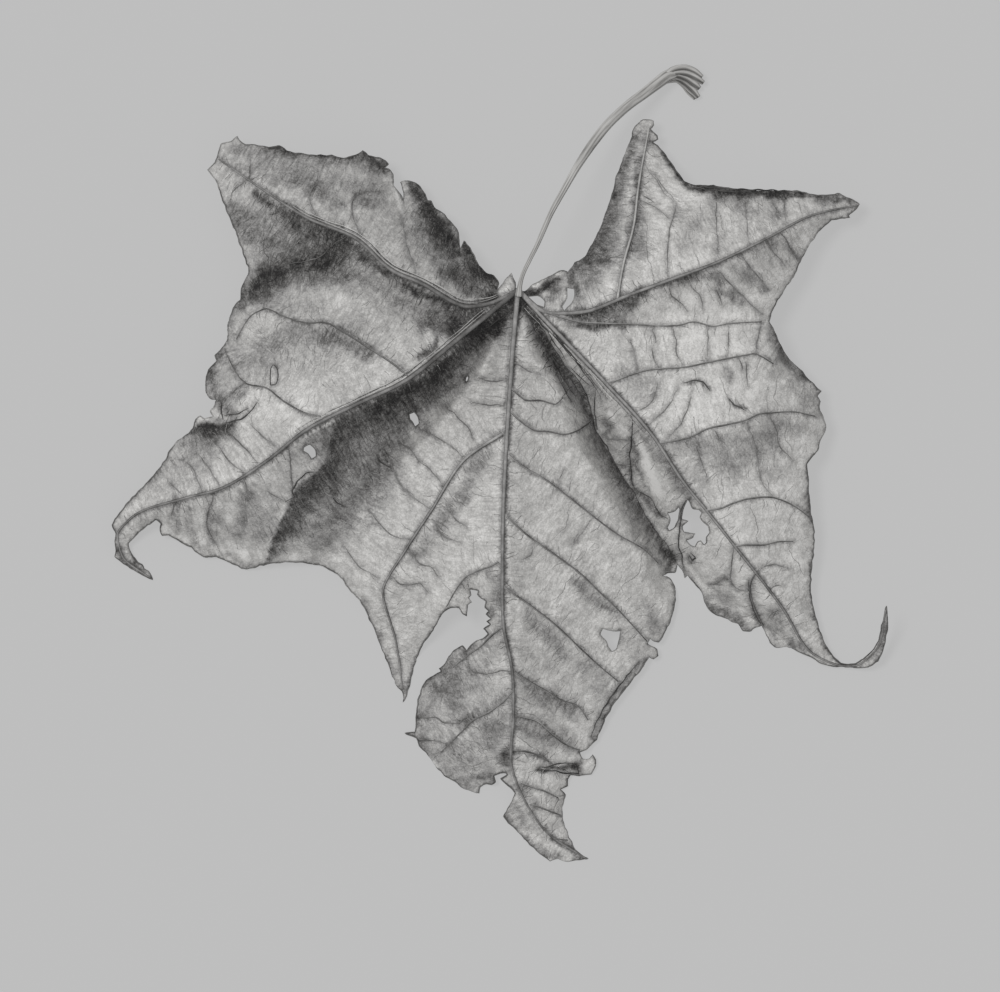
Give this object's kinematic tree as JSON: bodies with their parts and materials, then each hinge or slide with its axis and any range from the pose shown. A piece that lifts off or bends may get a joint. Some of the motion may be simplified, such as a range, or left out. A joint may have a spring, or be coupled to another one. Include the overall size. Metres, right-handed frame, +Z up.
{
  "type": "maple leaf",
  "caption": "Dry, curled maple leaf lying underside up, with torn lobes, raised veins, insect holes and a long arching stalk.",
  "frame": {"origin": "middle of the leaf's box in plan, on the surface that it rests on", "axes": "+Z up, out of the veined underside, which faces up; +Y from the middle lobe's tip towards the stalk"},
  "size_m": [0.1549, 0.159, 0.0243],
  "materials": {
    "dry_leaf_blade": "matt, dry and brittle, grey with darker folds",
    "dry_leaf_stalk": "matt, fibrous"
  },
  "bodies": {
    "root": {"leaf_blade": "dry_leaf_blade", "leaf_stalk": "dry_leaf_stalk"}
  },
  "joints": []
}
